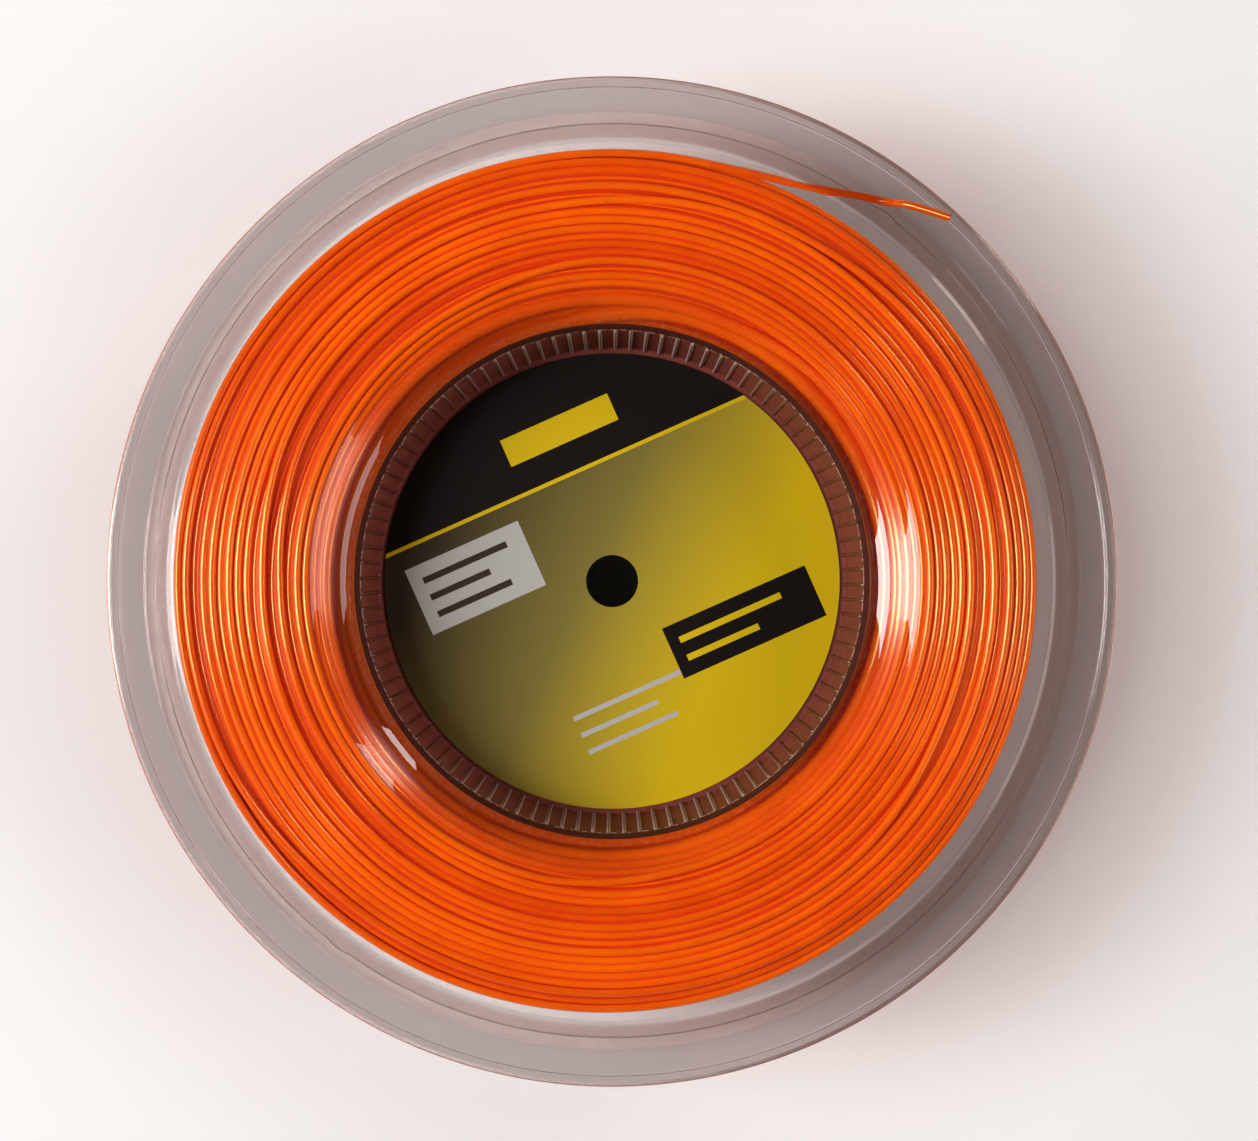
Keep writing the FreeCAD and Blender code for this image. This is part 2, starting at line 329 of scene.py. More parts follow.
row_rubbed = (outline_z > fillet_z) & (outline_z < face_z - RUBBED_OFF_FACE)
row_rubbed &= (outline_r > cup_wall_r(outline_z) + RUBBED_OFF_WALL) & (outline_r < fillet_r)
face_kind += 3 * (row_rubbed & np.roll(row_rubbed, -1))[None, :]
face_kind = face_kind.ravel()
print("one half:", len(half_faces), "quads,", int((face_kind == 1).sum()), "on ribs")

# %% [markdown]
# Each flange has two small holes for the string's end. A hole through a finished skin is a job
# for the exact boolean: the cutter is a little turned plug with a chamfer at both ends.

# %% String holes
def hole_cutter():
    """Two chamfered plugs: the lathe of a small outline, moved out to the hole circle on both
    sides of the axis."""
    wide = hole_r + 2 * hole_chamfer
    outline = np.array([(0.0, face_z - hole_chamfer), (wide, face_z - hole_chamfer),
                        (hole_r, face_z + hole_chamfer), (hole_r, flange_top - hole_chamfer),
                        (wide, flange_top + hole_chamfer), (0.0, flange_top + hole_chamfer)])
    plug = lathe(outline[1:-1], full_turn(48)).reshape(-1, 3)
    sides = quads(48, 4, True, False)
    ends = [list(range(0, 192, 4)), list(range(3, 192, 4))[::-1]]
    mesh = bpy.data.meshes.new("cutter")
    points = np.vstack([plug + (hole_circle_r, 0, 0), plug - (hole_circle_r, 0, 0)])
    faces = []
    for shift in (0, len(plug)):
        faces += [[i + shift for i in face] for face in sides.tolist() + ends]
    mesh.from_pydata((points * MM).tolist(), [], faces)
    mesh.update()
    return bpy.data.objects.new("cutter", mesh)


def cut(piece, cutter):
    """The piece's mesh less the cutter's, by an exact boolean that is worked out and kept."""
    bpy.context.scene.collection.objects.link(cutter)
    step = piece.modifiers.new("holes", "BOOLEAN")
    step.operation = "DIFFERENCE"
    step.solver = "EXACT"
    step.object = cutter
    bpy.context.view_layer.update()
    ready = piece.evaluated_get(bpy.context.evaluated_depsgraph_get())
    made = bpy.data.meshes.new_from_object(ready)
    piece.modifiers.clear()
    piece.data = made
    bpy.data.objects.remove(cutter)
    return piece


# %% Both halves
def place_half(piece, over):
    """Puts a half in the row: turned over about its own X axis if it is the back one, then turned
    to the string holes' angle and lifted to the middle. The move is baked into the mesh."""
    flip = Matrix.Rotation(math.pi if over else 0.0, 4, "X")
    turn = Matrix.Rotation(hole_angle, 4, "Z")
    lift = Matrix.Translation((0, 0, middle_z * MM))
    piece.data.transform(lift @ turn @ flip)
    piece.data.shade_smooth()
    piece.data.set_sharp_from_angle(angle=math.radians(SHARP_FROM))
    return piece


front_half = new_piece("clear_front", half_points(), [half_faces])
for name in ("clear_styrene", "frosted_ribs", "satin_wall", "rubbed_styrene"):
    front_half.data.materials.append(bpy.data.materials.new(name))
front_half.data.polygons.foreach_set("material_index", face_kind)
cut(front_half, hole_cutter())
back_half = bpy.data.objects.new("clear_back", front_half.data.copy())
bpy.context.scene.collection.objects.link(back_half)
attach(back_half, "root")
place_half(front_half, over=False)
place_half(back_half, over=True)
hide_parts("front_half")
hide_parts("back_half")
print("halves:", len(front_half.data.polygons), "faces each")

# %% [markdown]
# Each label is a disc of coated paper a fifth of a millimetre thick, glued to its cup's floor.
# Its cut edge shows as a thin pale line, so it is a real ring with softened edges.

# %% Labels
LABEL_LIFT = 0.01


def label_disc(name, low):
    """A thin ring: the lathe of a rectangle with rounded corners."""
    soft = label_t / 4
    outline = rounded_outline([
        (label_hole_r, low, soft, 2), (label_r, low, soft, 2),
        (label_r, low + label_t - LABEL_LIFT, soft, 2),
        (label_hole_r, low + label_t - LABEL_LIFT, soft, 2),
    ])
    turns = full_turn(360)
    points = lathe(outline, turns).reshape(-1, 3)
    return new_piece(name, points, [quads(len(turns), len(outline), True, True)], 50.0)


front_label = label_disc("printed_front_label", label_z + LABEL_LIFT)
back_label = label_disc("printed_back_label", rim_z - label_z - label_t)
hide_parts("front_label")
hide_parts("back_label")

# %% [markdown]
# The string. A winder lays it in layers: each layer is a tight screw from one flange to the
# other, and at the flange the string climbs one diameter and goes back. Through the clear flange
# only these turning places show, about twenty rings of them, some touching the flange and some
# a little below it. That is why the rings look uneven and have deep red gaps.
#
# Modelling all two hundred metres would be a waste. The turns near each flange and the outer
# layer are real tubes, and a core fills the rest.

# %% Tubes along a path
def tube(path, sides):
    """Points of a round tube: at each point of the path, a circle string_r * (cos a * up + sin a *
    out), where up is Z less its share along the path and out is square to both. The two ends are
    closed with a fan of triangles round a centre point."""
    ahead = np.gradient(path, axis=0)
    ahead /= np.linalg.norm(ahead, axis=1)[:, None]
    up = np.array([0, 0, 1.0]) - ahead[:, 2:] * ahead
    up /= np.linalg.norm(up, axis=1)[:, None]
    out = np.cross(ahead, up)
    a = full_turn(sides)
    ring = np.cos(a)[None, :, None] * up[:, None] + np.sin(a)[None, :, None] * out[:, None]
    points = (path[:, None] + string_r * ring).reshape(-1, 3)
    count = len(points)
    points = np.vstack([points, path[:1], path[-1:]])
    i = np.arange(sides)
    j = (i + 1) % sides
    last = count - sides
    start_cap = np.stack([np.full(sides, count), j, i], axis=1)
    end_cap = np.stack([np.full(sides, count + 1), last + i, last + j], axis=1)
    return points, quads(len(path), sides, False, True), np.vstack([start_cap, end_cap])


def string_piece(name, paths, sides, tones):
    """Several tubes in one piece. Each carries its own tone, a number from 0 to 1 that the
    string's material turns into a slightly different orange."""
    all_points, all_quads, all_caps, all_tones = [], [], [], []
    shift = 0
    for path, tone in zip(paths, tones):
        points, sides_faces, caps = tube(path, sides)
        all_points.append(points)
        all_quads.append(sides_faces + shift)
        all_caps.append(caps + shift)
        all_tones.append(np.full(len(points), tone))
        shift += len(points)
    flip = enclosed(np.vstack(all_points), np.vstack(all_quads)) < 0
    if flip:
        all_quads = [faces[:, ::-1] for faces in all_quads]
        all_caps = [faces[:, ::-1] for faces in all_caps]
    piece = new_piece(name, np.vstack(all_points), [np.vstack(all_quads), np.vstack(all_caps)],
                      60.0)
    tone = piece.data.attributes.new("tone", "FLOAT", "POINT")
    tone.data.foreach_set("value", np.concatenate(all_tones).astype(np.float32))
    return piece


# %% [markdown]
# Near the hub the flange curves into the hub wall, so the innermost turns sit lower, along that
# curve. One function says how high a turn can lie at each radius.

# %% How high a turn can lie
CLEAR = 0.08


def top_of_turn(r):
    """Highest centre of a string at radius r: flat under the flange, and round the fillet's
    centre it follows z = fillet_z + sqrt(inner^2 - (fillet_r - r)^2), inner being the fillet's
    radius less the string's."""
    inner = hub_fillet - string_r - CLEAR
    into = np.clip(fillet_r - r, 0, inner)
    return fillet_z + np.sqrt(inner ** 2 - into ** 2)


# %% [markdown]
# The winding is not quite centred: in the photograph its outside sits almost a millimetre to the
# left of the flanges' middle, while the hub holds the first turns in place. So every path leans
# by a share that grows outwards.

# %% The lean, and the rings
LEAN = 0.9


def lean(path, keep=1.0):
    """Moves points a little to the left: LEAN times a share that grows from 0 at the hub to 1 at
    the outside."""
    r = np.hypot(path[:, 0], path[:, 1])
    share = np.clip((r - hub_out_r) / (turn_r - hub_out_r), 0, 1)
    path[:, 0] -= LEAN * share * keep
    return path


LAYER_STEP = 1.235
UNDER_OUTER_LAYER = 1.24
CURVE_COVERED = math.radians(78)
first_turn_r = winding_r - string_r - UNDER_OUTER_LAYER
flat_run = first_turn_r - fillet_r
curve_r = hub_fillet - string_r - CLEAR
curve_run = curve_r * CURVE_COVERED
along_ceiling = np.arange(0, flat_run + curve_run, LAYER_STEP)
bent = np.clip(along_ceiling - flat_run, 0, None) / curve_r
ring_r = first_turn_r - np.minimum(along_ceiling, flat_run) - curve_r * np.sin(bent)
ring_count = len(ring_r)
print("rings:", ring_count, np.round(ring_r, 1))

# %% Turns by a flange
SCREW = 1.32
CLIMB_ANGLE = 0.55
TURN_ROUNDING = 0.35
DEEP_TURNS = 1.55
STEPS_PER_TURN = 190
WANDER = 0.075


def turning_strand(outer_r, inner_r, turn_at, wander, rng):
    """One strand as it turns back at a flange. With s the angle past the turning place, its
    radius goes from inner_r to outer_r along a smooth step, and its centre lies SCREW * |s| / 2 pi
    below the highest place there, rounded at the top. A few slow waves make it wander."""
    reach = DEEP_TURNS * 2 * math.pi
    s = np.linspace(-reach, reach, int(2 * DEEP_TURNS * STEPS_PER_TURN))
    step = np.clip(s / CLIMB_ANGLE + 0.5, 0, 1)
    step = step * step * (3 - 2 * step)
    r = inner_r + (outer_r - inner_r) * step
    phase = rng.uniform(0, 2 * math.pi, 4)
    size = wander * rng.uniform(0.4, 1.0, 4)
    angle = turn_at - s
    for k in range(4):
        r = r + size[k] * np.sin((k + 1) * angle + phase[k]) / (k + 1)
    depth = SCREW / (2 * math.pi) * (np.sqrt(s * s + TURN_ROUNDING ** 2) - TURN_ROUNDING)
    dip = 0.10 * (1 + np.sin(2 * angle + phase[1])) * rng.uniform(0.2, 1.0)
    z = top_of_turn(r) - depth - dip
    return lean(np.stack([r * np.cos(angle), r * np.sin(angle), z], axis=1))


def flange_turns(seed):
    """The strands by one flange: each joins a ring to the next one out, and turns back at an
    angle of its own."""
    rng = np.random.default_rng(seed)
    paths = []
    for k in range(0, ring_count, 2):
        outer = ring_r[k] + rng.uniform(-0.05, 0.05)
        inner = ring_r[min(k + 1, ring_count - 1)] + rng.uniform(-0.05, 0.05)
        turn_at = rng.uniform(0, 2 * math.pi)
        paths.append(turning_strand(outer, inner, turn_at, WANDER, rng))
    return paths, rng.uniform(0, 1, len(paths))


front_paths, front_tones = flange_turns(11)
front_paths = [p + (0, 0, middle_z) for p in front_paths]
back_paths, back_tones = flange_turns(23)
back_paths = [p * (1, -1, -1) + (0, 0, middle_z) for p in back_paths]
front_turns = string_piece("turns_by_front_flange", front_paths, 10, front_tones)
back_turns = string_piece("turns_by_back_flange", back_paths, 10, back_tones)

# %% [markdown]
# The outer layer is what the hand feels on the rim of the winding: about twenty-six turns side
# by side, from the back flange to the front one, where the loose end leaves.

# %% The outer layer
OUTER_TURNS = 25.9
OUTER_STEPS = 200


def outer_layer():
    """A screw of the winding's radius: angle falls as the string is laid, and height rises evenly
    with small slow waves. The first stretch comes up from below, and the last fits the cord."""
    count = int(OUTER_TURNS * OUTER_STEPS)
    s = np.linspace(0, 1, count)
    turned = s * OUTER_TURNS * 2 * math.pi
    angle = leave_angle + OUTER_TURNS * 2 * math.pi - turned
    low = rim_z - winding_top_z
    ease = np.clip(np.minimum(turned, turned[-1] - turned) / 3.0, 0, 1)
    z = low + s * (winding_top_z - low) + ease * 0.045 * np.sin(turned * 0.93 + 1.0)
    r = turn_r - ease * 0.12 * (0.5 + 0.5 * np.sin(turned * 0.31) * np.sin(turned * 0.177 + 2))
    r = r - 1.1 * np.clip(1 - turned / 0.45, 0, 1) ** 2
    still = np.clip((turned[-1] - turned) / 0.9, 0, 1)
    still = still * still * (3 - 2 * still)
    path = lean(np.stack([r * np.cos(angle), r * np.sin(angle), z], axis=1), still)
    tail = path[-1] + along * np.linspace(0.3, string_d, 3)[:, None]
    return np.vstack([path, tail])


outer_string = string_piece("outer_layer_of_string", [outer_layer()], 12, [0.5])
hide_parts("outer_string_layer")

# %% [markdown]
# The core is the rest of the winding. Its hub side shows through the cup's clear wall, so its
# outline there is a row of small half circles, one for each turn that lies on the hub.

# %% The core of the winding
def core_outline():
    """A closed outline: up the hub in half circles of the string's radius, out under the turns in
    more half circles that sit between two rings and a nesting depth below them, and back."""
    nesting = math.sqrt(string_d ** 2 - (LAYER_STEP / 2) ** 2) + 0.06
    between = (ring_r[1:] + ring_r[:-1])[::-1] / 2
    bead = np.linspace(-1, 1, 7)[1:-1] * math.pi / 2
    roof_r = (between[:, None] + string_r * np.sin(bead)).ravel()
    roof_z = (top_of_turn(between)[:, None] - nesting + string_r * np.cos(bead)).ravel()
    count = int(2 * (roof_z[0] - 0.6) / string_d)
    z = (np.arange(count) - (count - 1) / 2) * string_d
    r = cup_wall_r(0) + wall_out + np.abs(z) * math.tan(draft) + CLEAR + string_r
    bead_r = (r[:, None] - string_r * np.cos(bead)).ravel()
    bead_z = (z[:, None] + string_r * np.sin(bead)).ravel()
    roof = np.stack([roof_r, roof_z], axis=1)
    on_roof = np.repeat([0.0, 1.0], [len(bead_r), 2 * len(roof)])
    hub_side = np.stack([bead_r, bead_z], axis=1)
    return np.vstack([hub_side, roof, (roof * (1, -1))[::-1]]), on_roof


core_line, on_roof = core_outline()
core_turns = full_turn(240)
core_points = lean(lathe(core_line, core_turns).reshape(-1, 3)) + (0, 0, middle_z)
core = new_piece("core_of_winding", core_points,
                 [quads(len(core_turns), len(core_line), True, True)], 50.0)
# The core's tone is 1 on its roof and 0 on its hub side, which its material paints in shade.
roof_vs_painted_shade = core.data.attributes.new("tone", "FLOAT", "POINT")
roof_vs_painted_shade.data.foreach_set("value", np.tile(on_roof, len(core_turns)).astype(np.float32))
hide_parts("wound_string")

# %% [markdown]
# Materials. Each is one Principled shader whose colour and roughness vary a little over the
# surface. Effects that several materials share are node groups: slow mottling, and fine scuffs.

# %% Node helpers
def new_material(name):
    """A node material with an output, its tree, and a Principled shader in it."""
    made = bpy.data.materials.get(name) or bpy.data.materials.new(name)
    made.use_nodes = True
    tree = made.node_tree
    return made, tree, tree.nodes["Principled BSDF"]


def node(tree, kind, **settings):
    """A node with its properties set."""
    made = tree.nodes.new(kind)
    for key, value in settings.items():
        setattr(made, key, value)
    return made


def calc(tree, operation, *values):
    """A Math node. Each value is a number or a socket."""
    made = node(tree, "ShaderNodeMath", operation=operation)
    for socket, value in zip(made.inputs, values):
        if isinstance(value, bpy.types.NodeSocket):
            tree.links.new(value, socket)
        else:
            socket.default_value = value
    return made.outputs[0]


def mix_colour(tree, factor, a, b):
    """A Mix node for colours. Factor, a and b are values or sockets."""
    made = node(tree, "ShaderNodeMix", data_type="RGBA")
    for socket, value in ((made.inputs[0], factor), (made.inputs[6], a), (made.inputs[7], b)):
        if isinstance(value, bpy.types.NodeSocket):
            tree.links.new(value, socket)
        else:
            socket.default_value = value
    return made.outputs[2]


def object_mm(tree):
    """Object coordinates in millimetres."""
    coordinates = node(tree, "ShaderNodeTexCoord")
    scale = node(tree, "ShaderNodeMapping")
    scale.inputs["Scale"].default_value = (1 / MM,) * 3
    tree.links.new(coordinates.outputs["Object"], scale.inputs["Vector"])
    return scale.outputs["Vector"]


def new_group(name, inputs, outputs):
    """A shader node group with named sockets: inputs {name: (kind, default)}, outputs {name: kind}."""
    tree = bpy.data.node_groups.new(name, "ShaderNodeTree")
    for key, (kind, default) in inputs.items():
        socket = tree.interface.new_socket(key, in_out="INPUT", socket_type=kind)
        if default is not None:
            socket.default_value = default
    for key, kind in outputs.items():
        tree.interface.new_socket(key, in_out="OUTPUT", socket_type=kind)
    return tree, node(tree, "NodeGroupInput"), node(tree, "NodeGroupOutput")


def use_group(tree, group, **values):
    """Places a group in a material. Underscores in the names stand for spaces."""
    made = node(tree, "ShaderNodeGroup", node_tree=group)
    for key, value in values.items():
        socket = made.inputs[key.replace("_", " ")]
        if isinstance(value, bpy.types.NodeSocket):
            tree.links.new(value, socket)
        else:
            socket.default_value = value
    return made.outputs


FLOAT, VECTOR = "NodeSocketFloat", "NodeSocketVector"

# %% Shared groups
mottle, given, result = new_group("mottle", {"Vector": (VECTOR, None), "Size": (FLOAT, 8.0)},
                                  {"Mask": FLOAT})
noise = node(mottle, "ShaderNodeTexNoise")
noise.inputs["Detail"].default_value = 3
mottle.links.new(given.outputs["Vector"], noise.inputs["Vector"])
mottle.links.new(calc(mottle, "DIVIDE", 1.0, given.outputs["Size"]), noise.inputs["Scale"])
mottle.links.new(noise.outputs["Fac"], result.inputs["Mask"])

scuffs, given, result = new_group(
    "scuffs", {"Vector": (VECTOR, None), "Size": (FLOAT, 6.0), "Width": (FLOAT, 0.02)},
    {"Mask": FLOAT})
cells = node(scuffs, "ShaderNodeTexVoronoi", feature="DISTANCE_TO_EDGE")
bend = node(scuffs, "ShaderNodeTexNoise")
bend.inputs["Scale"].default_value = 0.15
offset = node(scuffs, "ShaderNodeVectorMath", operation="MULTIPLY_ADD")
offset.inputs[1].default_value = (5, 5, 5)
scuffs.links.new(given.outputs["Vector"], bend.inputs["Vector"])
scuffs.links.new(bend.outputs["Color"], offset.inputs[0])
scuffs.links.new(given.outputs["Vector"], offset.inputs[2])
scuffs.links.new(offset.outputs[0], cells.inputs["Vector"])
scuffs.links.new(calc(scuffs, "DIVIDE", 1.0, given.outputs["Size"]), cells.inputs["Scale"])
line = calc(scuffs, "LESS_THAN", cells.outputs["Distance"], given.outputs["Width"])
patch = node(scuffs, "ShaderNodeTexNoise")
scuffs.links.new(given.outputs["Vector"], patch.inputs["Vector"])
patch.inputs["Scale"].default_value = 0.11
some = calc(scuffs, "GREATER_THAN", patch.outputs["Fac"], 0.56)
scuffs.links.new(calc(scuffs, "MULTIPLY", line, some), result.inputs["Mask"])

past_radius, given, result = new_group(
    "past_radius", {"Vector": (VECTOR, None), "Radius": (FLOAT, 65.0), "Run": (FLOAT, 1.0)},
    {"Mask": FLOAT})
flatten = node(past_radius, "ShaderNodeVectorMath", operation="MULTIPLY")
flatten.inputs[1].default_value = (1, 1, 0)
length = node(past_radius, "ShaderNodeVectorMath", operation="LENGTH")
past_radius.links.new(given.outputs["Vector"], flatten.inputs[0])
past_radius.links.new(flatten.outputs[0], length.inputs[0])
beyond = calc(past_radius, "SUBTRACT", length.outputs["Value"], given.outputs["Radius"])
beyond = calc(past_radius, "DIVIDE", beyond, given.outputs["Run"])
beyond.node.use_clamp = True
past_radius.links.new(beyond, result.inputs["Mask"])
print("groups:", [g.name for g in bpy.data.node_groups])

# %% [markdown]
# The string is a smooth polyester monofilament: strong orange, glossy, a little darker where a
# turn was drawn thinner. Between two turns light bounces from orange to orange, which gives the
# deep red of the gaps without any painting.

# %% String material
string_look, tree, shader = new_material("orange_string")
place = object_mm(tree)
tone = node(tree, "ShaderNodeAttribute", attribute_name="tone")
slow = use_group(tree, mottle, Vector=place, Size=9.0)["Mask"]
fine = use_group(tree, mottle, Vector=place, Size=0.35)["Mask"]
share = calc(tree, "MULTIPLY_ADD", slow, 0.8, calc(tree, "MULTIPLY", tone.outputs["Fac"], 0.5))
orange = mix_colour(tree, share, (0.74, 0.050, 0.0005, 1), (1.0, 0.155, 0.001, 1))
tree.links.new(orange, shader.inputs["Base Color"])
tree.links.new(calc(tree, "MULTIPLY_ADD", fine, 0.05, 0.12), shader.inputs["Roughness"])
shader.inputs["IOR"].default_value = 1.75
shader.inputs["Specular IOR Level"].default_value = 1.0
shader.inputs["Specular Tint"].default_value = (1.0, 0.84, 0.34, 1)
bump = node(tree, "ShaderNodeBump")
bump.inputs["Strength"].default_value = 0.05
bump.inputs["Distance"].default_value = 0.00001
tree.links.new(fine, bump.inputs["Height"])
tree.links.new(bump.outputs["Normal"], shader.inputs["Normal"])
for piece in (loose_end, front_turns, back_turns, outer_string):
    piece.data.materials.clear()
    piece.data.materials.append(string_look)

# %% [markdown]
# The turns that lie on the hub are seen only through the cup's wall. They are packed tight and get
# little light, and that shade is painted: that side of the core is coloured a deep brown red. Its
# roof shows in the gaps of the turns above it, and has the darker one of the string's own two oranges.

# %% Shaded string
deep_look, tree, shader = new_material("shaded_string")
place = object_mm(tree)
slow = use_group(tree, mottle, Vector=place, Size=5.0)["Mask"]
# Painted shade: the hub side of the core is coloured a deep brown red for the little light there.
painted_hub_shade = mix_colour(tree, slow, (0.10, 0.012, 0.004, 1), (0.22, 0.03, 0.008, 1))
on_top = node(tree, "ShaderNodeAttribute", attribute_name="tone")
tree.links.new(mix_colour(tree, on_top.outputs["Fac"], painted_hub_shade, (0.66, 0.036, 0.001, 1)),
               shader.inputs["Base Color"])
shader.inputs["Specular Tint"].default_value = (1.0, 0.6, 0.3, 1)
tree.links.new(calc(tree, "MULTIPLY_ADD", slow, 0.2, 0.25), shader.inputs["Roughness"])
core.data.materials.clear()
core.data.materials.append(deep_look)

# %% [markdown]
# Clear styrene: full transmission and a high index. Light from the lamps goes straight through
# it (the Light Path node says which rays look for lamps), because bent light through two flanges
# would need far more samples than it is worth.
#
# Past the winding the clear margin is browner in the photograph than a pale floor would make it,
# so the front flange has a browner tint there. Where a flange curves into the hub the string has
# rubbed it, so that curve is a little dull.
# Just past the winding's edge the tint is darker and rosier still: painted shade, with the winding's
# orange light painted in.

# %% Clear plastic
STYRENE_IOR = 1.57
SHADED = (0.16, 0.08, 0.06, 1)


def clear_plastic(name, tint, tints_past=(), dull=0.0):
    """Clear styrene of one tint, and of others past given radii: (radius, run, tint) for each,
    where run is how far the change takes. The square roots of the tints colour the light that
    passes each skin on its way to what lies below. A dull surface is a curved one: light that
    meets it at a flat angle is totally reflected inside, so there hardly any of it passes."""
    made, tree, shader = new_material(name)
    place = object_mm(tree)
    pass_on = node(tree, "ShaderNodeBsdfTransparent")
    for power, socket in ((1.0, shader.inputs["Base Color"]), (0.5, pass_on.inputs["Color"])):
        colour = (*[c ** power for c in tint], 1)
        socket.default_value = colour
        for radius, run, other in tints_past:
            past = use_group(tree, past_radius, Vector=place, Radius=radius, Run=run)["Mask"]
            colour = mix_colour(tree, past, colour, (*[c ** power for c in other], 1))
        if tints_past:
            tree.links.new(colour, socket)
    shader.inputs["Transmission Weight"].default_value = 1.0
    shader.inputs["IOR"].default_value = STYRENE_IOR
    marks = use_group(tree, scuffs, Vector=place, Size=11.0, Width=0.003)["Mask"]
    haze = use_group(tree, mottle, Vector=place, Size=14.0)["Mask"]
    rough = calc(tree, "MULTIPLY_ADD", marks, 0.08, calc(tree, "MULTIPLY", haze, 0.01))
    rough = calc(tree, "ADD", rough, dull)
    tree.links.new(rough, shader.inputs["Roughness"])
    if dull:
        slope = node(tree, "ShaderNodeLayerWeight")
        blocked = node(tree, "ShaderNodeMapRange")
        blocked.inputs["From Min"].default_value = 0.40
        blocked.inputs["From Max"].default_value = 0.56
        tree.links.new(slope.outputs["Facing"], blocked.inputs["Value"])
        lit = mix_colour(tree, blocked.outputs[0], colour, SHADED)
        tree.links.new(lit, pass_on.inputs["Color"])
    path = node(tree, "ShaderNodeLightPath")
    either = node(tree, "ShaderNodeMixShader")
    tree.links.new(path.outputs["Is Shadow Ray"], either.inputs["Fac"])
    tree.links.new(shader.outputs["BSDF"], either.inputs[1])
    tree.links.new(pass_on.outputs["BSDF"], either.inputs[2])
    tree.links.new(either.outputs["Shader"], tree.nodes["Material Output"].inputs["Surface"])
    return made


EDGE_TINT = (0.84, 0.81, 0.80)
# The first ring, just past the winding, is painted shade with the winding's orange light painted in.
clear_plastic("clear_styrene", (0.80, 0.77, 0.765),
              [(65.2, 1.4, (0.54, 0.42, 0.40)), (66.5, 5.0, (0.57, 0.51, 0.50)),
               (74.5, 0.4, EDGE_TINT)])
clear_plastic("rubbed_styrene", (0.84, 0.80, 0.79), dull=0.12)
back_half.data.materials[0] = clear_plastic("clear_styrene_behind", (0.84, 0.82, 0.815),
                                            [(66.5, 5.0, EDGE_TINT)])

# %% [markdown]
# The cup wall is satin, and its maroon is painted shade: the colour of the shaded string behind it.
# Over the ribs, where the mouth begins to curve, it is painted darker, as more painted shade.
# The sides of the ribs are rougher still. They scatter light, and in the photograph they are pale bars
# above and below the label and hardly show beside it; that split is painted light above and below,
# where the lamps at the left and right catch the ribs' sides, and painted shade beside the label.
# A thin broken pale line at the rib tops all round is painted glints, where the rib ends catch light.

# %% Wall between the ribs
GLINT_REACH = 0.3
# Painted colours: shade on the ribs beside the label, shade on the wall over the ribs, glints at the
# rib tops.
SHADED_RIB_PAINT, PAINTED_RIM_SHADE, PAINTED_GLINT = (0.25, 0.07, 0.05, 1), (0.085, 0.018, 0.014, 1), (0.75, 0.50, 0.45, 1)
tree, shader = new_material("satin_wall")[1:]
place = object_mm(tree)
shader.inputs["Transmission Weight"].default_value = 0.2
shader.inputs["IOR"].default_value = 1.45
shader.inputs["Specular IOR Level"].default_value = 0.1
cloud = use_group(tree, mottle, Vector=place, Size=2.0)["Mask"]
# Painted shade: the wall is coloured the maroon of the shaded string behind it.
maroon = mix_colour(tree, cloud, (0.18, 0.034, 0.022, 1), (0.34, 0.08, 0.055, 1))
axes = node(tree, "ShaderNodeSeparateXYZ")
tree.links.new(place, axes.inputs[0])
from_weld = calc(tree, "ABSOLUTE", calc(tree, "SUBTRACT", axes.outputs["Z"], middle_z))
# Painted shade: over the ribs, towards the mouth, the wall is painted darker.
over_ribs = calc(tree, "SUBTRACT", from_weld, rib_top + rib_h)
rim_shade_share = calc(tree, "MULTIPLY", over_ribs, 4.0)
rim_shade_share.node.use_clamp = True
maroon = mix_colour(tree, rim_shade_share, maroon, PAINTED_RIM_SHADE)
# Painted glints: pale specks along the rib tops, where the rib ends catch the light.
near_tops = calc(tree, "LESS_THAN", calc(tree, "ABSOLUTE", over_ribs), GLINT_REACH)
glint_spots = use_group(tree, mottle, Vector=place, Size=0.7)["Mask"]
painted_glints = calc(tree, "MULTIPLY", near_tops, calc(tree, "GREATER_THAN", glint_spots, 0.5))
tree.links.new(mix_colour(tree, painted_glints, maroon, PAINTED_GLINT), shader.inputs["Base Color"])
tree.links.new(calc(tree, "MULTIPLY_ADD", cloud, 0.2, 0.5), shader.inputs["Roughness"])

# %% Ribs
tree, shader = new_material("frosted_ribs")[1:]
place = object_mm(tree)
shader.inputs["Transmission Weight"].default_value = 0.5
shader.inputs["IOR"].default_value = STYRENE_IOR
uneven = use_group(tree, mottle, Vector=place, Size=0.8)["Mask"]
frost = mix_colour(tree, uneven, (0.50, 0.35, 0.32, 1), (0.90, 0.74, 0.70, 1))
axes = node(tree, "ShaderNodeSeparateXYZ")
tree.links.new(place, axes.inputs[0])
# Painted light and shade: ribs above and below the label, whose sides face the lamps at the left and
# right, are pale; beside it they take the dark rib colour.
lit_above_and_below = node(tree, "ShaderNodeMapRange")
lit_above_and_below.inputs["From Min"].default_value = 0.70 * cup_floor_r
lit_above_and_below.inputs["From Max"].default_value = 0.92 * cup_floor_r
tree.links.new(calc(tree, "ABSOLUTE", axes.outputs["Y"]), lit_above_and_below.inputs["Value"])
tree.links.new(mix_colour(tree, lit_above_and_below.outputs[0], SHADED_RIB_PAINT, frost),
               shader.inputs["Base Color"])
tree.links.new(calc(tree, "MULTIPLY_ADD", uneven, 0.3, 0.2), shader.inputs["Roughness"])

# %% [markdown]
# The labels carry a plain design of our own: a slanting fade from black through olive to yellow,
# a pale panel, a black band and a few plain bars. Every shape is a box tested in the label's own
# millimetres, so the edges stay crisp at any distance.

